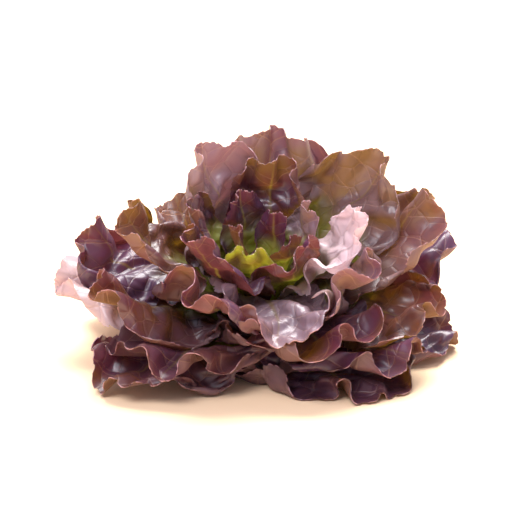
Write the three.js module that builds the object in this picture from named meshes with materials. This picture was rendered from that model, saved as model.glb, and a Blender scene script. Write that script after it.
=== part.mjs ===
// A cut head of red leaf lettuce standing on its trimmed stump.
//
// Millimetres, +Z up, the centre of the cut face at the origin. The heart leans towards -Y.
// Every leaf is its own thin closed sheet with a midrib on its outer side, and is one named mesh.
//
// All leaves spring from one growing point above the cut. A place in the head is told by three numbers:
// its distance from the growing point, its azimuth, and its opening, which runs from 0 on the heart's
// axis to 1 on the ground. A leaf keeps to its own layer of openings, and layers never cross, so
// neighbouring leaves nest with a gap and don't touch.
import * as THREE from "three";

// ---- Driving dimensions, in millimetres and degrees ----
const STUMP_RADIUS = 17; // the leafless stem where the outer leaves were trimmed away
const CUT_RADIUS = 13; // the cut face, a little narrower than the stem
const CUT_BEVEL = 3; // height of the slope from the cut face to the stem's side
const GROWING_POINT_HEIGHT = 20; // centre of the stem's domed top
const LEAF_CLEARANCE = 0.8; // gap between the stump and the foot of a leaf
const HEART_FOOT_RISE = 5; // how much further out than that the innermost leaf begins
const HEART_LEAN = 27; // tilt of the heart's axis from vertical, towards -Y

const HEART_LEAF_LENGTH = 92; // innermost leaf, from the growing point to the tip
const OUTER_LEAF_LENGTH = 140; // outermost leaf
const LENGTH_SPREAD = 0.05; // how far one leaf's length may differ from its neighbours', as a share
const HEART_LEAF_HALF_WIDTH = 22;
const OUTER_LEAF_HALF_WIDTH = 54;
const FOOT_HALF_WIDTH = 9.5; // half the width of an outer leaf's foot where it leaves the stump
const HEART_FOOT_HALF_WIDTH = 3;
const BLADE_THICKNESS = 0.7;
const RIB_THICKNESS = 0.7; // how far the midrib stands out at the foot of a leaf
const WAVE_HEIGHT = 3.6; // height of the margin's waves above and below the leaf's layer
const GROUND_GAP = 1.2; // lowest a leaf comes above the ground that the cut face stands on
const SINK_DEPTH = 14; // how far outer leaves come down between the growing point and the ground
const SINK_RUN = 70; // distance over which they come down
const SINK_FADE = 60; // height above the growing point by which leaves come down a third as far
const GROUND_EASE = 2; // how softly a leaf meets its lowest height

// ---- How the head is put together, from the heart outwards ----
const GROUPS = [
  { name: "heart_leaf", count: 8 },
  { name: "inner_leaf", count: 8 },
  { name: "middle_leaf", count: 9 },
  { name: "outer_leaf", count: 9 },
];
const LEAF_COUNT = GROUPS.reduce((sum, group) => sum + group.count, 0);
const GOLDEN_ANGLE = 137.51; // each leaf springs this far round from the one before it
const FIRST_AZIMUTH = 62;
const LAYER_REACH = 150; // distance at which a layer has its full outward curve
const FOOT_OPENING = { inner: 0.14, outer: 0.9 };
const TIP_OPENING = { inner: 0.04, outer: 0.97 };
// A higher power holds more of the layers up near the heart. The head is open in front, full behind.
const FOOT_POWER = 0.85;
const TIP_POWER = { front: 0.66, back: 1.45 };
const BACK_SHARE = 0.6; // below 1, more of the way round counts as the back
const OUTWARD_CURVE = 1.7; // how late along a leaf its outward curve comes
const SHOULDER = 0.45; // share of a leaf's length where its round end begins
const WRAP_LIMIT = 78; // degrees that half a leaf may wrap round the heart
const WAVE_TURNS = { across: 9, along: 5 }; // radians of wave in half a leaf's width and in its length
const WAVE_MIDDLE = 0.25; // height of the waves at the midrib, as a share of the margin's
const FULL_SIZE_LAYER = 0.45; // layer, from 0 inside to 1 outside, where leaves reach their full size

const ROWS = 9; // cells along a leaf
const COLUMNS = 8; // cells across a leaf, even, so that the midrib has a column of points

const radians = THREE.MathUtils.degToRad;
const blend = THREE.MathUtils.lerp;
const ease = (x) => THREE.MathUtils.smoothstep(x, 0, 1);

const GROWING_POINT = new THREE.Vector3(0, 0, GROWING_POINT_HEIGHT);
const HEART_AXIS = new THREE.Vector3(
  0,
  -Math.sin(radians(HEART_LEAN)),
  Math.cos(radians(HEART_LEAN)),
);

// ---- The head's own coordinates ----
const layerOpening = (layer, distance, azimuth) => {
  const behind = ((1 + Math.sin(azimuth)) / 2) ** BACK_SHARE;
  const tipPower = blend(TIP_POWER.front, TIP_POWER.back, behind);
  const foot = blend(FOOT_OPENING.inner, FOOT_OPENING.outer, layer ** FOOT_POWER);
  const tip = blend(TIP_OPENING.inner, TIP_OPENING.outer, layer ** tipPower);
  return blend(foot, tip, (distance / LAYER_REACH) ** OUTWARD_CURVE);
};

const groundDirection = (azimuth) =>
  new THREE.Vector3(Math.cos(azimuth), Math.sin(azimuth), 0);

// The turn from the heart's axis down to the ground at an azimuth.
const fullTurn = (azimuth) => HEART_AXIS.angleTo(groundDirection(azimuth));

function place(distance, azimuth, opening) {
  const turn = fullTurn(azimuth);
  const direction = HEART_AXIS.clone()
    .multiplyScalar(Math.sin((1 - opening) * turn))
    .addScaledVector(groundDirection(azimuth), Math.sin(opening * turn))
    .divideScalar(Math.sin(turn));
  const point = direction.multiplyScalar(distance).add(GROWING_POINT);
  const height = Math.max(0, point.z - GROWING_POINT_HEIGHT);
  const sink = SINK_DEPTH * ease((distance - STUMP_RADIUS) / SINK_RUN);
  point.z -= sink * Math.exp(-height / SINK_FADE);
  const low = point.z - GROUND_GAP;
  point.z = GROUND_GAP + (low + Math.hypot(low, GROUND_EASE)) / 2;
  return point;
}

// ---- One leaf ----
function leafAt(index) {
  const layer = index / (LEAF_COUNT - 1);
  const size = ease(layer / FULL_SIZE_LAYER);
  const spread = Math.sin(2.4 * index);
  return {
    index,
    layer,
    azimuth: radians(FIRST_AZIMUTH + index * GOLDEN_ANGLE),
    start: STUMP_RADIUS + LEAF_CLEARANCE + HEART_FOOT_RISE * (1 - size),
    length: blend(HEART_LEAF_LENGTH, OUTER_LEAF_LENGTH, size) * (1 + LENGTH_SPREAD * spread),
    halfWidth: blend(HEART_LEAF_HALF_WIDTH, OUTER_LEAF_HALF_WIDTH, size),
    footHalfWidth: blend(HEART_FOOT_HALF_WIDTH, FOOT_HALF_WIDTH, size),
  };
}

// A point of the leaf's middle surface: u runs from the foot to the tip, v from one margin to the other.
function leafPoint(leaf, u, v) {
  const q = Math.max(0, (u - SHOULDER) / (1 - SHOULDER));
  const rise = q > 0 ? SHOULDER + (1 - SHOULDER) * q * Math.sqrt(1 - (v * v) / 2) : u;
  const distance = blend(leaf.start, leaf.length, rise);
  const widest = blend(leaf.footHalfWidth, leaf.halfWidth, ease(u / SHOULDER));
  const across = v * widest * Math.sqrt(1 - (q * q) / 2);
  const turn = fullTurn(leaf.azimuth);
  const middle = layerOpening(leaf.layer, distance, leaf.azimuth);
  const radius = distance * Math.sin(middle * turn);
  const limit = radians(WRAP_LIMIT);
  const azimuth = leaf.azimuth + limit * Math.tanh(across / (radius * limit));
  const opening = layerOpening(leaf.layer, distance, azimuth);
  const margin = u * u * blend(WAVE_MIDDLE, 1, v * v);
  const wave = Math.sin(WAVE_TURNS.across * v + WAVE_TURNS.along * u * Math.sign(v) + leaf.index);
  const lift = ((WAVE_HEIGHT * leaf.halfWidth) / OUTER_LEAF_HALF_WIDTH) * margin * wave;
  return place(distance, azimuth, opening + lift / (distance * turn));
}

function leafGeometry(leaf) {
  const step = 1e-3;
  const positions = [];
  for (const side of [1, -1]) {
    for (let i = 0; i <= ROWS; i++) {
      for (let j = 0; j <= COLUMNS; j++) {
        const u = i / ROWS;
        const v = (2 * j) / COLUMNS - 1;
        const point = leafPoint(leaf, u, v);
        const lengthways = leafPoint(leaf, Math.min(1, u + step), v)
          .sub(leafPoint(leaf, Math.max(0, u - step), v));
        const crossways = leafPoint(leaf, u, Math.min(1, v + step))
          .sub(leafPoint(leaf, u, Math.max(-1, v - step)));
        const inward = lengthways.cross(crossways).normalize();
        const rib = side < 0 && j === COLUMNS / 2 ? RIB_THICKNESS * (1 - u) : 0;
        point.addScaledVector(inward, side * (BLADE_THICKNESS / 2) - rib);
        positions.push(point.x, point.y, point.z);
      }
    }
  }
  const row = COLUMNS + 1;
  const sheet = (ROWS + 1) * row;
  const indices = [];
  const quad = (a, b, c, d) => indices.push(a, b, c, a, c, d);
  for (let i = 0; i < ROWS; i++) {
    for (let j = 0; j < COLUMNS; j++) {
      const a = i * row + j;
      quad(a, a + row, a + row + 1, a + 1);
      quad(sheet + a, sheet + a + 1, sheet + a + row + 1, sheet + a + row);
    }
  }
  const rim = (a, b) => quad(a, b, sheet + b, sheet + a);
  for (let j = 0; j < COLUMNS; j++) {
    rim(j, j + 1);
    rim(ROWS * row + j + 1, ROWS * row + j);
  }
  for (let i = 0; i < ROWS; i++) {
    rim((i + 1) * row, i * row);
    rim(i * row + COLUMNS, (i + 1) * row + COLUMNS);
  }
  const geometry = new THREE.BufferGeometry();
  geometry.setAttribute("position", new THREE.Float32BufferAttribute(positions, 3));
  geometry.setIndex(indices);
  geometry.computeVertexNormals();
  return geometry;
}

// ---- The stump: a cut stem with a bevelled lower edge and a domed top ----
function stumpGeometry() {
  const profile = [
    new THREE.Vector2(0, 0),
    new THREE.Vector2(CUT_RADIUS, 0),
    new THREE.Vector2(STUMP_RADIUS, CUT_BEVEL),
  ];
  const domeSteps = 7;
  for (let i = 0; i <= domeSteps; i++) {
    const turn = ((i / domeSteps) * Math.PI) / 2;
    profile.push(
      new THREE.Vector2(
        i === domeSteps ? 0 : STUMP_RADIUS * Math.cos(turn),
        GROWING_POINT_HEIGHT + STUMP_RADIUS * Math.sin(turn),
      ),
    );
  }
  const geometry = new THREE.LatheGeometry(profile, 28);
  geometry.rotateX(Math.PI / 2);
  return geometry;
}

// ---- Materials ----
const colours = {
  heart_leaf: 0x8b8a3a,
  inner_leaf: 0x7d4a48,
  middle_leaf: 0x6b3a42,
  outer_leaf: 0x5a3138,
  stump: 0xd8d6a4,
};
const material = (name) =>
  new THREE.MeshStandardMaterial({ color: colours[name], roughness: 0.45, metalness: 0 });

// ---- The head ----
const head = new THREE.Group();
const stump = new THREE.Mesh(stumpGeometry(), material("stump"));
stump.name = "stump";
head.add(stump);

let index = 0;
for (const group of GROUPS) {
  for (let number = 1; number <= group.count; number++) {
    const leaf = new THREE.Mesh(leafGeometry(leafAt(index)), material(group.name));
    leaf.name = `${group.name}_${number}`;
    head.add(leaf);
    index += 1;
  }
}

export default head;
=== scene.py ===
"""The finished look of a cut head of red leaf lettuce standing on its stump.

Every leaf grows from the plain shape that its CAD node has. Its margin grows longer than its middle, so it
buckles into ruffles, pushes its neighbours aside and sags under its own weight. Lengths are in millimetres
until a mesh is made, and in metres from then on.
"""
import math

import bpy
import numpy as np
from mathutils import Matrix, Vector


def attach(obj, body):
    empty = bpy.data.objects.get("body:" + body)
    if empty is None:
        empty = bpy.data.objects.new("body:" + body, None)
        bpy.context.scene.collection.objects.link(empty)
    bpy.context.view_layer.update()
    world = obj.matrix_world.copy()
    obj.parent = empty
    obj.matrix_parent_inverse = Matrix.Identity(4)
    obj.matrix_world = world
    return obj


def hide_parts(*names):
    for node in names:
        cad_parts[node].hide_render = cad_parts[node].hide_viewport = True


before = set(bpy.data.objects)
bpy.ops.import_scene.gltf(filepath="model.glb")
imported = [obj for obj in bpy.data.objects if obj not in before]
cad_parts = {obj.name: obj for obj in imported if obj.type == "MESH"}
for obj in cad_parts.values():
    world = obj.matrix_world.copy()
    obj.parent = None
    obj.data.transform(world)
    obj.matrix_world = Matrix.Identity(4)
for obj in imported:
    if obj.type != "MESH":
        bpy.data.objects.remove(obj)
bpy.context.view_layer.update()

MM = 0.001


def blend(low, high, share):
    return low + (high - low) * share


def ease(share):
    share = np.clip(share, 0.0, 1.0)
    return share * share * (3 - 2 * share)


# ---------------------------------------------------------------- camera, light and floor
VIEW_ELEVATION = math.radians(14)
VIEW_TARGET = Vector((-0.005, 0.0, 0.068))
VIEW_DISTANCE = 0.85
LENS = 85


def look_at(thing, target):
    thing.rotation_euler = (target - thing.location).to_track_quat("-Z", "Y").to_euler()


def add_camera():
    data = bpy.data.cameras.new("camera")
    data.lens = LENS
    camera = bpy.data.objects.new("camera", data)
    bpy.context.scene.collection.objects.link(camera)
    away = Vector((0, -math.cos(VIEW_ELEVATION), math.sin(VIEW_ELEVATION)))
    camera.location = VIEW_TARGET + VIEW_DISTANCE * away
    look_at(camera, VIEW_TARGET)
    bpy.context.scene.camera = camera


def add_sun(name, place, strength, width, colour):
    """A far, soft lamp that shines from place towards the head; width is how wide it looks, in degrees."""
    data = bpy.data.lights.new(name, "SUN")
    data.energy = strength
    data.angle = math.radians(width)
    data.color = colour
    lamp = bpy.data.objects.new(name, data)
    bpy.context.scene.collection.objects.link(lamp)
    lamp.location = place
    look_at(lamp, VIEW_TARGET)


add_camera()
add_sun("back_lamp", place=(0.2, 0.95, 2.35), strength=7.4, width=42, colour=(1.0, 0.985, 0.96))
add_sun("front_lamp", place=(-0.6, -1.1, 1.7), strength=2.6, width=28, colour=(0.95, 0.94, 1.0))
bpy.context.scene.view_settings.view_transform = "Standard"


# ---------------------------------------------------------------- materials
class Value:
    """A shader socket that ordinary Python arithmetic can be done with."""

    def __init__(self, shader, socket):
        self.shader = shader
        self.socket = socket

    def _maths(self, operation, *others):
        return self.shader.node("ShaderNodeMath", {"operation": operation}, [self, *others])

    def __add__(self, other):
        return self._maths("ADD", other)

    def __sub__(self, other):
        return self._maths("SUBTRACT", other)

    def __mul__(self, other):
        return self._maths("MULTIPLY", other)

    def __truediv__(self, other):
        return self._maths("DIVIDE", other)

    def __pow__(self, other):
        return self._maths("POWER", other)

    def __rsub__(self, other):
        return self.shader.node("ShaderNodeMath", {"operation": "SUBTRACT"}, [other, self])

    __radd__ = __add__
    __rmul__ = __mul__

    def abs(self):
        return self._maths("ABSOLUTE")

    def fract(self):
        return self._maths("FRACT")

    def most(self, other):
        return self._maths("MAXIMUM", other)

    def steps(self, low, high, to_low=0.0, to_high=1.0):
        """An eased step from to_low to to_high as this value goes from low to high."""
        settings = {"interpolation_type": "SMOOTHSTEP"}
        return self.shader.node("ShaderNodeMapRange", settings, [self, low, high, to_low, to_high])


class Shader:
    """Builds one material's nodes."""

    def __init__(self, name):
        self.material = bpy.data.materials.new(name)
        self.material.use_nodes = True
        self.tree = self.material.node_tree
        self.tree.nodes.clear()

    def node(self, kind, settings=None, inputs=(), output=0):
        """Adds a node: its settings first, then the values or links of its sockets, by place or by name."""
        made = self.tree.nodes.new(kind)
        for setting, value in (settings or {}).items():
            setattr(made, setting, value)
        pairs = inputs.items() if isinstance(inputs, dict) else enumerate(inputs)
        for key, value in pairs:
            if isinstance(value, Value):
                self.tree.links.new(value.socket, made.inputs[key])
            elif value is not None:
                made.inputs[key].default_value = value
        return Value(self, made.outputs[output]) if made.outputs else None

    def attribute(self, name, output="Fac"):
        return self.node("ShaderNodeAttribute", {"attribute_name": name}, output=output)

    def mix(self, share, first, second):
        """A colour between two colours."""
        settings = {"data_type": "RGBA", "clamp_factor": True}
        inputs = {0: share, 6: first, 7: second}
        return self.node("ShaderNodeMix", settings, inputs, output=2)

    def part(self, vector, number):
        """One of the three numbers of a vector."""
        return self.node("ShaderNodeSeparateXYZ", {}, [vector], output=number)

    def finish(self, surface):
        self.node("ShaderNodeOutputMaterial", {}, [surface])
        return self.material


# ---------------------------------------------------------------- the head's coordinates, as in its CAD model
STUMP_RADIUS = 17
CUT_RADIUS = 13
GROWING_POINT_HEIGHT = 20
LEAF_CLEARANCE = 0.8
HEART_FOOT_RISE = 5
HEART_LEAN = math.radians(27)
HEART_LEAF_LENGTH, OUTER_LEAF_LENGTH = 92, 140
LENGTH_SPREAD = 0.05
HEART_LEAF_HALF_WIDTH, OUTER_LEAF_HALF_WIDTH = 22, 54
HEART_FOOT_HALF_WIDTH, FOOT_HALF_WIDTH = 3, 9.5
GROUND_GAP = 1.2
SINK_DEPTH, SINK_RUN, SINK_FADE, GROUND_EASE = 14, 70, 60, 2
GOLDEN_ANGLE, FIRST_AZIMUTH = math.radians(137.51), math.radians(62)
GROUPS = {"heart_leaf": 8, "inner_leaf": 8, "middle_leaf": 9, "outer_leaf": 9}
LAYER_REACH = 150
INNER_FOOT_OPENING, OUTER_FOOT_OPENING, FOOT_POWER = 0.14, 0.9, 0.85
INNER_TIP_OPENING, OUTER_TIP_OPENING = 0.04, 0.97
FRONT_TIP_POWER, BACK_TIP_POWER, BACK_SHARE = 0.66, 1.45, 0.6
OUTWARD_CURVE = 1.7
SHOULDER = 0.45
WRAP_LIMIT = math.radians(78)
FULL_SIZE_LAYER = 0.45

HEART_AXIS = np.array([0, -math.sin(HEART_LEAN), math.cos(HEART_LEAN)])
NAMES = [f"{group}_{number + 1}" for group, count in GROUPS.items() for number in range(count)]
LEAF_COUNT = len(NAMES)


def per_leaf(values):
    return np.asarray(values, float)[:, None, None]


INDEX = per_leaf(range(LEAF_COUNT))
LAYER = INDEX / (LEAF_COUNT - 1)
SIZE = ease(LAYER / FULL_SIZE_LAYER)
AZIMUTH = FIRST_AZIMUTH + INDEX * GOLDEN_ANGLE
FOOT_SINK = 2.5  # how much deeper a foot reaches than in the CAD model, to join the stump
START = STUMP_RADIUS + LEAF_CLEARANCE + HEART_FOOT_RISE * (1 - SIZE) - FOOT_SINK
LENGTH = blend(HEART_LEAF_LENGTH, OUTER_LEAF_LENGTH, SIZE) * (1 + LENGTH_SPREAD * np.sin(2.4 * INDEX))
HALF_WIDTH = blend(HEART_LEAF_HALF_WIDTH, OUTER_LEAF_HALF_WIDTH, SIZE)
FOOT_WIDTH = blend(HEART_FOOT_HALF_WIDTH, FOOT_HALF_WIDTH, SIZE)


def layer_opening(distance, azimuth):
    behind = ((1 + np.sin(azimuth)) / 2) ** BACK_SHARE
    foot = blend(INNER_FOOT_OPENING, OUTER_FOOT_OPENING, LAYER**FOOT_POWER)
    power = blend(FRONT_TIP_POWER, BACK_TIP_POWER, behind)
    tip = blend(INNER_TIP_OPENING, OUTER_TIP_OPENING, LAYER**power)
    return blend(foot, tip, (distance / LAYER_REACH) ** OUTWARD_CURVE)


def full_turn(azimuth):
    return np.arccos(-math.sin(HEART_LEAN) * np.sin(azimuth))


def place(distance, azimuth, opening):
    turn = full_turn(azimuth)
    upward = (np.sin((1 - opening) * turn) / np.sin(turn))[..., None] * HEART_AXIS
    ground = np.stack([np.cos(azimuth), np.sin(azimuth), np.zeros_like(azimuth)], -1)
    outward = (np.sin(opening * turn) / np.sin(turn))[..., None] * ground
    point = distance[..., None] * (upward + outward)
    height = np.maximum(0, point[..., 2])
    sink = SINK_DEPTH * ease((distance - STUMP_RADIUS) / SINK_RUN) * np.exp(-height / SINK_FADE)
    low = point[..., 2] + GROWING_POINT_HEIGHT - sink - GROUND_GAP
    point[..., 2] = GROUND_GAP + (low + np.hypot(low, GROUND_EASE)) / 2
    return point


def plain_leaves(u, v):
    """The middle surfaces of all leaves: u runs from foot to tip, v from margin to margin."""
    q = np.maximum(0, (u - SHOULDER) / (1 - SHOULDER))
    rise = np.where(q > 0, SHOULDER + (1 - SHOULDER) * q * np.sqrt(1 - v * v / 2), u)
    distance = blend(START, LENGTH * UNGROWN_LENGTH, rise)
    across = v * blend(FOOT_WIDTH, HALF_WIDTH, ease(u / SHOULDER)) * np.sqrt(1 - q * q / 2)
    middle = layer_opening(distance, AZIMUTH + 0 * u)
    radius = distance * np.sin(middle * full_turn(AZIMUTH))
    azimuth = AZIMUTH + WRAP_LIMIT * np.tanh(across / (radius * WRAP_LIMIT))
    return place(distance, azimuth, layer_opening(distance, azimuth))


# ---------------------------------------------------------------- growth: how the leaves ruffle and settle
MARGIN_GROWTH = 0.42  # how much longer the margin grows than the middle, as a share
BLADE_GROWTH = 0.04  # how much the rest of the blade grows
UNGROWN_LENGTH = 0.975  # a leaf's length before growth, beside its length in the CAD model
SAG = 0.06  # mm that the tip sags in one step
COARSE_GRID, COARSE_STEPS, COARSE_SHARE, COARSE_ROOM = (17, 13), 110, 0.75, 3.6
FINE_GRID, FINE_STEPS, FINE_SHARE = (41, 33), 90, 0.25
LONG_RIPPLE = (6, 75)  # height and wavelength in mm of the waves that a leaf starts with
ROOM = 1.9  # mm that a leaf keeps free on each side
TINY = 1e-6  # mm, against dividing by nothing
TIE_KINDS = [((1, 0), 1.0), ((0, 1), 1.0), ((1, 1), 0.4), ((1, -1), 0.4), ((2, 0), 0.25), ((0, 2), 0.25)]
STEPS_PER_NORMAL, STEPS_PER_SEARCH = 10, 6
SEARCH_MARGIN = 1.35  # how far past its room a point looks for others
OWN_REACH = 4 * 41  # rows of the grid times the steps within which a leaf doesn't push itself
CURL = 0.11  # mm that a margin is pushed in or out in one step
random = np.random.default_rng(7)
TIP_CURL, LEFT_CURL, RIGHT_CURL = (
    per_leaf(random.uniform(-CURL, 0.6 * CURL, LEAF_COUNT)) for _ in range(3)
)
LEFT_CURL[12], RIGHT_CURL[12] = 0.2, -0.15  # the leaf that folds open over the front
TIP_CURL[32], LEFT_CURL[32], RIGHT_CURL[32] = 0.1, 0.12, 0.16  # the lowest leaf at the back, which curls up
SWAY = 0.07  # mm that a leaf is pushed to one side in one step
PUSHES = {  # mm that some leaves are pushed in one step, to the right, back and up
    11: (0.16, 0.0, 0.0),
    12: (0.05, -0.05, -0.14),
    13: (0.12, 0.0, 0.0),
    16: (0.18, 0.0, 0.0),
    18: (0.12, 0.0, 0.08),
    19: (-0.10, 0.0, -0.20),
    24: (0.14, 0.0, -0.05),
    25: (-0.25, 0.10, 0.0),
    26: (0.14, 0.0, 0.08),
    33: (0.24, 0.16, 0.05),
}


def with_own(values, own):
    """Every leaf's value, with those of some leaves put in by number."""
    for number, value in own.items():
        values[number] = value
    return values


sway = per_leaf(random.uniform(-SWAY, SWAY, LEAF_COUNT))
PUSH = with_own(np.stack([-sway * np.sin(AZIMUTH), sway * np.cos(AZIMUTH), 0 * sway], -1), PUSHES)


def sheet_grid(rows, columns):
    u, v = np.meshgrid(np.linspace(0, 1, rows), np.linspace(-1, 1, columns), indexing="ij")
    return u[None], v[None]


def length_of(vectors):
    return np.sqrt(np.einsum("...i,...i->...", vectors, vectors))[..., None]


class Ties:
    """Ties between points a few cells apart, along the rows, across them or over the diagonals.

    They are taken in turns in which no point has two ties, so that a whole turn can be pulled at once."""

    def __init__(self, points, growth, shift, stiffness):
        self.stiffness = stiffness
        self.ends = []
        rows, columns = points.shape[1:3]
        down, right = shift
        for start in range(2 * (down or right)):
            if down:
                row_a = slice(start, rows - down, 2 * down)
                row_b = slice(start + down, rows, 2 * down)
                column_a = slice(max(0, -right), columns - max(0, right))
                column_b = slice(max(0, right), columns - max(0, -right))
            else:
                row_a = row_b = slice(0, rows)
                column_a = slice(start, columns - right, 2 * right)
                column_b = slice(start + right, columns, 2 * right)
            a = (slice(None), row_a, column_a)
            b = (slice(None), row_b, column_b)
            rest = length_of(points[b] - points[a])
            grown = rest * (growth[a] + growth[b])[..., None] / 2
            self.ends.append((a, b, rest, grown))

    def pull(self, points, grown_share):
        for a, b, rest, grown in self.ends:
            gap = points[b] - points[a]
            length = length_of(gap)
            wanted = rest + grown_share * (grown - rest)
            move = gap * (0.5 * self.stiffness * (1 - wanted / (length + TINY)))
            points[a] += move
            points[b] -= move


def close_pairs(points, reach):
    """Every pair of points nearer each other than reach, by sorting them into cubes."""
    cell = np.floor(points / reach).astype(np.int64)
    cell -= cell.min(0) - 1
    sides = cell.max(0) + 2
    key = (cell[:, 0] * sides[1] + cell[:, 1]) * sides[2] + cell[:, 2]
    order = np.argsort(key, kind="stable")
    ordered = key[order]
    ahead = [(0, 0, 0)] + [
        (x, y, z) for x in (0, 1) for y in (-1, 0, 1) for z in (-1, 0, 1) if (x, y, z) > (0, 0, 0)
    ]
    firsts, seconds = [], []
    for x, y, z in ahead:
        wanted = key + (x * sides[1] + y) * sides[2] + z
        low = np.searchsorted(ordered, wanted, "left")
        count = np.searchsorted(ordered, wanted, "right") - low
        first = np.repeat(np.arange(len(key)), count)
        run = np.arange(len(first)) - np.repeat(np.cumsum(count) - count, count)
        second = order[np.repeat(low, count) + run]
        if (x, y, z) == (0, 0, 0):
            first, second = first[first < second], second[first < second]
        near = ((points[first] - points[second]) ** 2).sum(1) < reach * reach
        firsts.append(first[near])
        seconds.append(second[near])
    return np.concatenate(firsts), np.concatenate(seconds)


def settle(points, u, v, steps, growth_share, room):
    """Grows the leaves step by step, and keeps them off each other, off the ground and near their places."""
    rows, columns = u.shape[1:]
    home = points.copy()
    end = ease((u - 0.35) / 0.65)
    edge = 1 - (1 - np.abs(v) ** 3) * (1 - end**4)
    growth = 1 + BLADE_GROWTH + MARGIN_GROWTH * edge * ease((u - 0.12) / 0.45) * blend(0.7, 1, SIZE)
    ties = [Ties(points, growth, shift, stiffness) for shift, stiffness in TIE_KINDS]
    hold = blend(0.35, 0.004, ease(u / 0.5))
    hold = np.maximum(hold, 0.02 * (1 - ease(np.abs(v) / 0.35)) * (1 - ease((u - 0.5) / 0.4)))[..., None]
    sag = (SAG * ease((u - 0.3) / 0.7) * SIZE)[..., None] * np.array([0, 0, -1.0])
    bend = curl(u, v)[..., None]
    push_out = PUSH * (SIZE * ease((u - 0.3) / 0.6))[..., None]
    free = np.flatnonzero((u > 0.3).repeat(LEAF_COUNT, 0).ravel())
    leaf, row, column = np.unravel_index(free, (LEAF_COUNT, rows, columns))
    keep = (room * blend(0.5, 1, SIZE)).ravel()[leaf]
    first = second = np.zeros(0, int)
    apart = OWN_REACH // rows
    for step in range(steps):
        share = growth_share * min(1.0, step / (0.6 * steps))
        for tie in ties:
            tie.pull(points, share)
        if step % STEPS_PER_NORMAL == 0:
            inward = normals(points)
        points += hold * (home - points) + sag + push_out + bend * inward
        flat = points.reshape(-1, 3)
        if step % STEPS_PER_SEARCH == 0:
            first, second = close_pairs(flat[free], 2.0 * room * SEARCH_MARGIN)
            steps_apart = np.maximum(abs(row[first] - row[second]), abs(column[first] - column[second]))
            other = (leaf[first] != leaf[second]) | (steps_apart > apart)
            first, second = first[other], second[other]
        flat[free] = kept_apart(flat[free], first, second, keep)
        points[..., 2] = np.maximum(points[..., 2], GROUND_GAP)
    return points


def kept_apart(here, first, second, keep):
    """The points, with each pair that is too close pushed apart by half of what it lacks."""
    gap = here[first] - here[second]
    length = length_of(gap)[:, 0]
    short = np.maximum(0, keep[first] + keep[second] - length)
    push = gap * (0.5 * short / (length + TINY))[:, None]
    moved = np.zeros_like(here)
    hit = short > 0
    for axis in range(3):
        moved[:, axis] = np.bincount(first[hit], push[hit, axis], len(here))
        moved[:, axis] -= np.bincount(second[hit], push[hit, axis], len(here))
    count = np.bincount(first[hit], minlength=len(here)) + np.bincount(second[hit], minlength=len(here))
    return here + moved / np.maximum(1, 0.6 * count)[:, None]


def curl(u, v):
    """How far each point is pushed towards the heart in one step, or away from it where this is negative."""
    at_tip = ease((u - 0.45) / 0.5) * (1 - 0.5 * v * v)
    at_side = ease((np.abs(v) - 0.3) / 0.6) * ease((u - 0.25) / 0.4)
    side = np.where(v < 0, LEFT_CURL, RIGHT_CURL)
    return SIZE * (TIP_CURL * at_tip + side * at_side)


def ripples(points, u, v, height, wavelength):
    """Gentle random waves that the growth can build on."""
    wave = np.zeros_like(points)
    for _ in range(6):
        turn = random.uniform(0, 2 * math.pi, (LEAF_COUNT, 1, 1))
        tilt = random.uniform(-0.9, 0.9, (LEAF_COUNT, 1, 1))
        along = u * LENGTH * np.cos(tilt) + np.abs(v) * HALF_WIDTH * np.sin(tilt)
        along = blend(along, v * HALF_WIDTH * 1.3, ease((u - 0.5) / 0.4) * (1 - v * v))
        side = np.where(v < 0, random.uniform(0, 6, (LEAF_COUNT, 1, 1)), 0)
        amount = np.sin(2 * math.pi * along / (wavelength * random.uniform(0.75, 1.4)) + turn + side)
        wave += (amount * height / 3)[..., None] * normals(points)
    return wave * (ease((u - 0.25) / 0.5) * (0.25 + 0.75 * v * v))[..., None]


def normals(points):
    down = np.gradient(points, axis=1)
    right = np.gradient(points, axis=2)
    normal = np.cross(down, right)
    return normal / (length_of(normal) + 1e-9)


def cubic_weights(t):
    """Weights of the four points round a place that is t of the way between the middle two."""
    return (
        -0.5 * t + t**2 - 0.5 * t**3,
        1 - 2.5 * t**2 + 1.5 * t**3,
        0.5 * t + 2 * t**2 - 1.5 * t**3,
        -0.5 * t**2 + 0.5 * t**3,
    )


def finer(points, rows, columns):
    """The same sheets with more points, by cubic interpolation along each way in turn."""
    for axis, count in ((1, rows), (2, columns)):
        have = points.shape[axis]
        at = np.linspace(0, have - 1, count)
        base = np.clip(np.floor(at).astype(int), 0, have - 2)
        t = at - base
        padded = np.concatenate(
            [
                2 * points.take([0], axis) - points.take([1], axis),
                points,
                2 * points.take([-1], axis) - points.take([-2], axis),
            ],
            axis,
        )
        weights = cubic_weights(t)
        shape = [1] * points.ndim
        shape[axis] = count
        points = sum(padded.take(base + k, axis) * weights[k].reshape(shape) for k in range(4))
    return points


def grown_leaves():
    """The middle surfaces of all leaves, grown first in long folds and then with finer ruffles."""
    u, v = sheet_grid(*COARSE_GRID)
    points = plain_leaves(u, v)
    points = points + ripples(points, u, v, *LONG_RIPPLE)
    points = settle(points, u, v, COARSE_STEPS, COARSE_SHARE, COARSE_ROOM)
    points = finer(points, *FINE_GRID)
    u, v = sheet_grid(*FINE_GRID)
    points = settle(points, u, v, FINE_STEPS, FINE_SHARE, ROOM)
    return points


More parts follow.
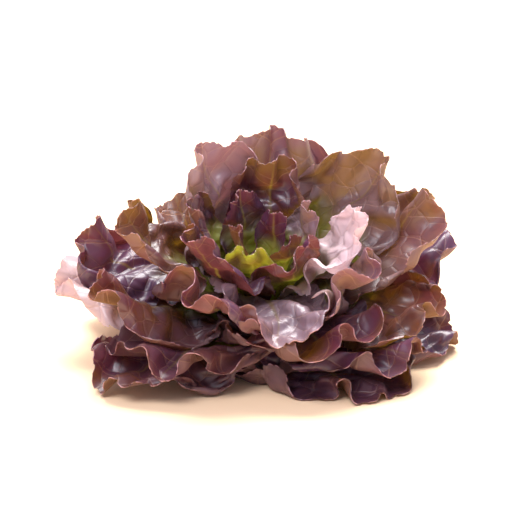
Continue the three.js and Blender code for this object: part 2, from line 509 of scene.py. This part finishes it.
# ---------------------------------------------------------------- the surface of a leaf
MESH_ROWS, MESH_COLUMNS = 121, 85
LEAF_THICKNESS = 0.5
LOBE, LOBE_DEPTH = 15, 2.0  # mm between the notches of the margin, and their depth
TOOTH, TOOTH_DEPTH = 4.3, 0.9
VEIN_SPACING = 15  # mm along the midrib between side veins
VEIN_SLANT = 0.75
VEIN_BEND = 0.006
BLISTER_HEIGHT = 1.15
UV_SPAN = 200  # mm of leaf across the whole of its UV map
EDGE_UNIT = 10  # mm that 1 stands for in the attribute to_edge
NET_CELL = 11  # mm across a cell of the net of veins
MIDRIB_FADE, MIDRIB_TAPER = (3.0, 5.0), 4.4  # mm from its middle line, and how much thinner it is at the tip
RIM_HIGHLIGHT_FADE = (0.3, 0.9)  # mm from the margin over which the painted rim highlight fades
HEART_TONES = {1: 0.5, 3: 0.6, 4: -0.9, 7: 0.8}
STANDING_TONES = {11: 0.95, 13: -0.45, 14: -0.2, 16: 0.7, 18: 0.0}
SPREAD_TONES = {25: 0.35, 28: 0.45, 30: 0.35, 33: 0.35}
OWN_TONES = HEART_TONES | STANDING_TONES | SPREAD_TONES
# how pale some leaves are made: partly a paler tone, as on leaf 27 at the far left, and partly painted
# highlight where strong shine whitens a blade, as on leaf 10 beside the heart
OWN_PALENESS_AND_SHEEN = {5: 0.25, 10: 1.0, 11: 0.3, 12: 0.2, 13: 0.1, 15: 0.15, 16: 0.15, 18: 0.05, 27: 0.65}
# from the brownest leaf at 0 to the most purple at 1, and greener below 0
TONE = with_own(per_leaf(random.uniform(0, 1, LEAF_COUNT)), OWN_TONES)
PALE_AND_SHEEN = with_own(0 * INDEX, OWN_PALENESS_AND_SHEEN)


def lattice_noise(x, y, seed):
    """Smooth noise between -1 and 1 that repeats only after many cells."""
    table = np.random.default_rng(seed).uniform(-1, 1, (64, 64))
    column, row = np.floor(x).astype(int), np.floor(y).astype(int)
    a, b = ease(x - column), ease(y - row)
    near = blend(table[row % 64, column % 64], table[row % 64, (column + 1) % 64], a)
    far = blend(table[(row + 1) % 64, column % 64], table[(row + 1) % 64, (column + 1) % 64], a)
    return blend(near, far, b)


def flat_place(u, v):
    """A leaf's points in the flat, in mm: across from the midrib, and along from the growing point."""
    q = np.maximum(0, (u - SHOULDER) / (1 - SHOULDER))
    rise = np.where(q > 0, SHOULDER + (1 - SHOULDER) * q * np.sqrt(1 - v * v / 2), u)
    across = v * blend(FOOT_WIDTH, HALF_WIDTH, ease(u / SHOULDER)) * np.sqrt(1 - q * q / 2)
    return across, blend(START, LENGTH, rise)


def notch(distance, offset):
    """How far the margin is cut in at a distance along it, in mm."""
    wander = lattice_noise(distance / 23, offset, 3)
    lobe = (1 - np.abs(np.sin(math.pi * (distance / LOBE + wander)))) ** 2 * (0.6 + 0.8 * np.abs(wander))
    tooth = 1 - np.abs(np.sin(math.pi * (distance / TOOTH + 0.7 * wander)))
    return LOBE_DEPTH * lobe + TOOTH_DEPTH * tooth


def mesh_grid():
    """Where on each leaf its mesh has points: closest at the margin, which notches and teeth cut into."""
    s = np.linspace(-1, 1, MESH_COLUMNS)
    t = np.linspace(0, 1, MESH_ROWS)
    v = (s * (1.3 - 0.3 * s * s))[None, None, :]
    u = (t * (1.15 - 0.15 * t**4))[None, :, None]
    u, v = np.broadcast_arrays(u + 0 * INDEX, v + 0 * INDEX + 0 * u)
    side = np.where(v < 0, 11, 0)
    half = blend(FOOT_WIDTH, HALF_WIDTH, ease(u / SHOULDER))
    side_notch = notch(u * LENGTH * 1.2, INDEX * 1.7 + side) * ease((u - 0.18) / 0.3)
    tip_notch = notch(v * HALF_WIDTH * 1.2 + 90, INDEX * 2.3 + 5)
    pointed = 1 - 0.5 * (1 - SIZE) * ease((u - 0.45) / 0.55)
    narrower = v * (1 - side_notch / half * np.abs(v) ** 7) * pointed
    shorter = u * (1 - tip_notch / LENGTH * u**9)
    return shorter, narrower


def sampled(points, u, v):
    """Points of the sheets at any u and v, by cubic interpolation."""
    rows, columns = points.shape[1:3]
    padded = np.pad(points, ((0, 0), (1, 1), (1, 1), (0, 0)), mode="reflect", reflect_type="odd")
    at_row, at_column = u * (rows - 1), (v + 1) / 2 * (columns - 1)
    row = np.clip(np.floor(at_row).astype(int), 0, rows - 2)
    column = np.clip(np.floor(at_column).astype(int), 0, columns - 2)
    leaf = np.arange(LEAF_COUNT)[:, None, None]
    total = 0
    for i, row_weight in enumerate(cubic_weights(at_row - row)):
        for j, column_weight in enumerate(cubic_weights(at_column - column)):
            total = total + padded[leaf, row + i, column + j] * (row_weight * column_weight)[..., None]
    return total


def blisters(across, along):
    """Height of the blade's blisters between its veins, in mm."""
    warp = 3 * lattice_noise(across / 21, along / 21 + 7 * INDEX, 5)
    phase = (along - VEIN_SLANT * np.abs(across) + VEIN_BEND * across**2 + warp) / VEIN_SPACING
    between = np.sin(math.pi * phase) ** 2
    small = lattice_noise(across / 7.5, along / 7.5 + 13 * INDEX, 9)
    large = lattice_noise(across / 13, along / 13 + 3 * INDEX, 2)
    puckers = small + large
    clear_of_midrib = ease(np.abs(across) / 9)
    return BLISTER_HEIGHT * (between - 0.4 + 0.75 * puckers) * clear_of_midrib * SIZE


def finished_leaves():
    u, v = mesh_grid()
    points = sampled(grown_leaves(), u, v)
    across, along = flat_place(u, v)
    lift = blisters(across, along) * ease((u - 0.15) / 0.3)
    points = points + lift[..., None] * normals(points)
    points[..., 2] = np.maximum(points[..., 2], LEAF_THICKNESS)
    to_side = (1 - np.abs(v)) * blend(FOOT_WIDTH, HALF_WIDTH, ease(u / SHOULDER))
    to_tip = (1 - u) * LENGTH
    attributes = {
        "along": u,
        "to_edge": np.minimum(to_side, to_tip) / EDGE_UNIT,
        "margin": np.maximum(np.abs(v) * ease(u / 0.5), ease((u - 0.3) / 0.7)),
        "tone": TONE + 0 * u,
        "pale_and_sheen": PALE_AND_SHEEN + 0 * u,
    }
    return points, across, along, attributes


# ---------------------------------------------------------------- meshes
def add_leaf(number, points, across, along, attributes, shader):
    """A leaf from a grid that is bent into shape and given a thickness."""
    name = NAMES[number]
    bpy.ops.object.select_all(action="DESELECT")
    bpy.ops.mesh.primitive_grid_add(x_subdivisions=MESH_COLUMNS - 1, y_subdivisions=MESH_ROWS - 1, size=2)
    leaf = bpy.context.object
    leaf.name = name + "_ruffled"
    mesh = leaf.data
    mesh.vertices.foreach_set("co", (points * MM).astype(np.float32).ravel())
    corners = np.zeros(len(mesh.loops), np.int32)
    mesh.loops.foreach_get("vertex_index", corners)
    flat = np.stack([across / UV_SPAN + 0.5, along / UV_SPAN], -1).reshape(-1, 2)
    uv = mesh.uv_layers.active
    uv.name = "blade"
    uv.data.foreach_set("uv", flat[corners].astype(np.float32).ravel())
    for label, values in attributes.items():
        made = mesh.attributes.new(label, "FLOAT", "POINT")
        made.data.foreach_set("value", values.astype(np.float32).ravel())
    count = len(mesh.vertices)
    solid = leaf.modifiers.new("thickness", "SOLIDIFY")
    solid.thickness = LEAF_THICKNESS * MM
    solid.offset = 0
    bpy.ops.object.modifier_apply(modifier="thickness")
    under = mesh.attributes.new("under", "FLOAT", "POINT")
    sides = np.zeros(len(mesh.vertices), np.float32)
    sides[:count] = 1
    under.data.foreach_set("value", sides)
    lay_out_sides(mesh, count)
    bpy.ops.object.shade_smooth_by_angle(angle=math.radians(60))
    mesh.materials.append(shader)
    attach(leaf, "root")
    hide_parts(name)


def lay_out_sides(mesh, count):
    """A second UV map, without overlaps: the under side left, the upper side right and the rim below."""
    corners = np.zeros(len(mesh.loops), np.int32)
    mesh.loops.foreach_get("vertex_index", corners)
    side, point = np.divmod(corners.reshape(-1, 4), count)
    row, column = np.divmod(point, MESH_COLUMNS)
    last_row, last_column = MESH_ROWS - 1, MESH_COLUMNS - 1
    whole = 2 * (last_row + last_column)
    around = np.select(
        [row == 0, column == last_column, row == last_row],
        [column, last_column + row, 2 * last_column + last_row - column],
        whole - row,
    )
    closing = (np.ptp(around, axis=1) > 1)[:, None] & (around == 0)
    around = np.where(closing, whole, around)
    on_rim = (side.min(1) < side.max(1))[:, None]
    x = np.where(on_rim, 0.02 + 0.96 * around / whole, 0.02 + 0.46 * column / last_column + 0.5 * side)
    y = np.where(on_rim, 0.015 + 0.035 * side, 0.08 + 0.9 * row / last_row)
    layer = mesh.uv_layers.new(name="OFBake", do_init=False)
    layer.data.foreach_set("uv", np.stack([x, y], -1).astype(np.float32).ravel())


# pigments, where two are given from the darkest specks to the lightest; the pale pink and the rim pink also
# stand for painted highlight
PURPLE = (0.048, 0.016, 0.056, 1), (0.105, 0.038, 0.092, 1)
WINE = (0.086, 0.027, 0.043, 1), (0.150, 0.058, 0.064, 1)
DUSTY_ROSE = (0.130, 0.058, 0.080, 1), (0.25, 0.122, 0.112, 1)
UNDER_GREEN = (0.26, 0.22, 0.07, 1)
VEIN = (0.42, 0.24, 0.17, 1)
# a pale pink for paler leaves, which also serves as painted highlight where a leaf shines white
PALE_AND_SHEEN_PINK = (0.84, 0.66, 0.69, 1)
# painted highlight along the margin, where the thin edge catches the light
RIM_HIGHLIGHT_PINK = (0.66, 0.36, 0.42, 1)
BRIGHT_GREEN = (0.44, 0.52, 0.09, 1)
HEART_GREEN = (0.40, 0.44, 0.07, 1)
OLIVE = (0.11, 0.11, 0.018, 1)
# colours of the light that comes through a blade
AMBER_LIGHT = (0.68, 0.46, 0.11, 1)
GREEN_LIGHT = (0.86, 0.88, 0.22, 1)
VEIN_LIGHT = (0.95, 0.64, 0.32, 1)
# the same pale tone and painted highlight, in the light that comes through
PALE_AND_SHEEN_LIGHT = (0.98, 0.84, 0.85, 1)
# the stump's flesh, its ring of sap vessels, its skin, and both where they have dried
FLESH = (0.78, 0.72, 0.47, 1), (0.88, 0.84, 0.62, 1)
SAP_RING = (0.50, 0.36, 0.16, 1)
STUMP_SKIN = (0.62, 0.60, 0.34, 1), (0.82, 0.76, 0.58, 1)
DRIED_FLESH = (0.42, 0.17, 0.07, 1)
DRIED_SKIN = (0.50, 0.22, 0.16, 1)


def leaf_material(name, red, foot, blade_green, through, glow_share):
    """red moves the red further in from the margin; foot and blade_green colour the blade where it isn't red;
    through tints the light that the red blade lets through; glow_share is how much it lets through."""
    shader = Shader(name)
    blade = shader.node("ShaderNodeUVMap", {"uv_map": "blade"})
    along, under, margin, tone, pale_and_sheen = map(shader.attribute, ("along", "under", "margin", "tone", "pale_and_sheen"))
    to_edge = shader.attribute("to_edge") * EDGE_UNIT
    across_mm = (shader.part(blade, 0) - 0.5) * UV_SPAN
    along_mm = shader.part(blade, 1) * UV_SPAN
    place = shader.node("ShaderNodeTexCoord", output=3)

    def noise(scale, detail=2.0):
        return shader.node("ShaderNodeTexNoise", {}, {"Vector": place, "Scale": scale, "Detail": detail})

    patches = noise(26)
    broad = noise(11, 1.0)
    fine = noise(170, 4.0)
    # veins: side veins from the midrib, a net between them, and the midrib itself
    side = across_mm.abs()
    warp = (patches - 0.5) * 8
    phase = (along_mm - side * VEIN_SLANT + side * side * VEIN_BEND + warp) / VEIN_SPACING
    from_vein = (0.5 - (phase.fract() - 0.5).abs()) * VEIN_SPACING
    vein = from_vein.steps(0.10, 0.55, 1.0, 0.0) * side.steps(4, 50, 0.9, 0.25)
    cells = shader.node(
        "ShaderNodeTexVoronoi",
        {"voronoi_dimensions": "2D", "feature": "DISTANCE_TO_EDGE"},
        {"Vector": blade, "Scale": UV_SPAN / NET_CELL, "Randomness": 0.95},
    )
    net = cells.steps(0.006, 0.026, 0.55, 0.0)
    midrib = (side + along * MIDRIB_TAPER).steps(*MIDRIB_FADE, 1.0, 0.0)
    veins = vein.most(net).most(midrib * 0.6)
    # how red the blade is, and its colour above and below
    redness = margin * 1.1 + (patches - 0.5) * 1.5 + (tone - 0.5) * 0.25 + red
    redness = redness.steps(0.25, 0.85) * (1 - midrib * 0.6)
    green = shader.mix(along.steps(0.05, 0.55), foot, blade_green)
    purple = shader.mix(fine, *PURPLE)
    wine = shader.mix(fine, *WINE)
    upper = shader.mix(redness, green, shader.mix((tone + broad - 0.5).steps(0.1, 0.6), wine, purple))
    lower = shader.mix(redness, UNDER_GREEN, shader.mix(fine, *DUSTY_ROSE))
    colour = shader.mix(under, upper, lower)
    colour = shader.mix(veins * 0.4, colour, VEIN)
    # paler leaves, and painted highlight where a leaf shines white
    colour = shader.mix(pale_and_sheen * redness, colour, PALE_AND_SHEEN_PINK)
    # a painted highlight along the margin, where the thin edge catches the light
    rim = to_edge.steps(*RIM_HIGHLIGHT_FADE, 0.75, 0.0)
    colour = shader.mix(rim, colour, RIM_HIGHLIGHT_PINK)
    # the light that comes through
    lit_red = shader.mix((patches - tone * 0.25).steps(0.28, 0.52), through, AMBER_LIGHT)
    lit = shader.mix(redness, GREEN_LIGHT, lit_red)
    lit = shader.mix(veins * 0.5, lit, VEIN_LIGHT)
    # paler leaves, and painted highlight in the light that comes through where a leaf shines white
    lit = shader.mix(pale_and_sheen, lit, PALE_AND_SHEEN_LIGHT)
    # the surface, domed between its veins on the upper side
    dome = cells.steps(0.0, 0.12)
    height = fine * 0.3 + patches + (dome * 0.6 - veins * 0.5) * (0.5 - under)
    bump = shader.node("ShaderNodeBump", {}, {"Strength": 0.6, "Distance": 0.0016, "Height": height})
    roughness = under * 0.12 + 0.38 + (fine - 0.5) * 0.2
    skin = {
        "Base Color": colour,
        "Roughness": roughness,
        "Specular IOR Level": 0.8,
        "Coat Weight": 0.45 - under * 0.35,
        "Coat Roughness": 0.33,
        "Normal": bump,
    }
    body = shader.node("ShaderNodeBsdfPrincipled", {}, skin)
    glow = shader.node("ShaderNodeBsdfTranslucent", {}, {"Color": lit, "Normal": bump})
    glowing = glow_share + (1 - redness) * 0.16
    return shader.finish(shader.node("ShaderNodeMixShader", {}, [glowing, body, glow]))


def stump_material():
    """Pale, milky flesh with rings of sap vessels on the cut face and a rusty rim where it has dried."""
    shader = Shader("stump")
    place = shader.node("ShaderNodeTexCoord", output=3)
    x, y, z = (shader.part(place, number) * 1000 for number in range(3))
    radius = (x * x + y * y) ** 0.5
    noise = shader.node("ShaderNodeTexNoise", {}, {"Vector": place, "Scale": 190.0, "Detail": 4.0})
    upright = shader.node("ShaderNodeVectorMath", {"operation": "MULTIPLY"}, [place, (1, 1, 0.15)])
    streaks = shader.node("ShaderNodeTexNoise", {}, {"Vector": upright, "Scale": 420.0})
    on_cut = z.steps(0.2, 1.2, 1.0, 0.0)
    wander = radius + (noise - 0.5) * 2.5
    ring = (wander - CUT_RADIUS * 0.62).abs().steps(0.3, 1.3, 1.0, 0.0)
    rust = wander.steps(CUT_RADIUS * 0.70, CUT_RADIUS, 0.10, 0.85)
    cut = shader.mix(noise, *FLESH)
    cut = shader.mix(ring * 0.6, cut, SAP_RING)
    cut = shader.mix(rust * noise.steps(0.3, 0.7, 0.4, 1.0), cut, DRIED_FLESH)
    skin = shader.mix(streaks, *STUMP_SKIN)
    skin = shader.mix(z.steps(4, 9, 0.5, 0.0) * noise, skin, DRIED_SKIN)
    colour = shader.mix(on_cut, skin, cut)
    height = shader.mix(on_cut, streaks, noise + ring)
    bump = shader.node("ShaderNodeBump", {}, {"Strength": 0.5, "Distance": 0.0008, "Height": height})
    surface = {
        "Base Color": colour,
        "Roughness": 0.62 - on_cut * 0.25 + (noise - 0.5) * 0.2,
        "Subsurface Weight": 0.1,
        "Normal": bump,
    }
    return shader.finish(shader.node("ShaderNodeBsdfPrincipled", {}, surface))


FLOOR_SIZE = 80  # metres, so that its edge is out of sight
FLOOR_COLOUR = (0.95, 0.70, 0.46, 1)  # warm, so that the shadows are
SOFT_COLOUR, SOFT_STRENGTH = (0.77, 0.84, 1.08, 1), 0.68


def add_floor():
    bpy.ops.object.select_all(action="DESELECT")
    bpy.ops.mesh.primitive_plane_add(size=FLOOR_SIZE)
    floor = bpy.context.object
    floor.name = "floor"
    shader = Shader("floor")
    surface = shader.node("ShaderNodeBsdfDiffuse", {}, {"Color": FLOOR_COLOUR})
    floor.data.materials.append(shader.finish(surface))


def add_world():
    """Soft light from all round, in front of plain white."""
    world = bpy.data.worlds.new("studio")
    world.use_nodes = True
    tree = world.node_tree
    soft = tree.nodes["Background"]
    soft.inputs["Color"].default_value = SOFT_COLOUR
    soft.inputs["Strength"].default_value = SOFT_STRENGTH
    white = tree.nodes.new("ShaderNodeBackground")
    white.inputs["Color"].default_value = (1.0, 1.0, 1.0, 1)
    white.inputs["Strength"].default_value = 1.0
    seen = tree.nodes.new("ShaderNodeLightPath")
    either = tree.nodes.new("ShaderNodeMixShader")
    tree.links.new(seen.outputs["Is Camera Ray"], either.inputs[0])
    tree.links.new(soft.outputs[0], either.inputs[1])
    tree.links.new(white.outputs[0], either.inputs[2])
    tree.links.new(either.outputs[0], tree.nodes["World Output"].inputs[0])
    bpy.context.scene.world = world


add_world()
add_floor()
LEAF_LOOKS = {  # as leaf_material's own values, in their order
    "heart_leaf": (-0.16, BRIGHT_GREEN, HEART_GREEN, (0.66, 0.26, 0.24, 1), 0.36),
    "inner_leaf": (0.25, BRIGHT_GREEN, OLIVE, (0.59, 0.26, 0.26, 1), 0.4),
    "middle_leaf": (0.26, BRIGHT_GREEN, OLIVE, (0.59, 0.27, 0.26, 1), 0.4),
    "outer_leaf": (0.35, OLIVE, OLIVE, (0.50, 0.20, 0.30, 1), 0.34),
}
shaders = {group: leaf_material(group, *look) for group, look in LEAF_LOOKS.items()}
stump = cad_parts["stump"]
stump.data.materials.clear()
stump.data.materials.append(stump_material())
points, across, along, attributes = finished_leaves()
for number in range(LEAF_COUNT):
    own = {label: values[number] for label, values in attributes.items()}
    shader = shaders[NAMES[number].rsplit("_", 1)[0]]
    add_leaf(number, points[number], across[number], along[number], own, shader)
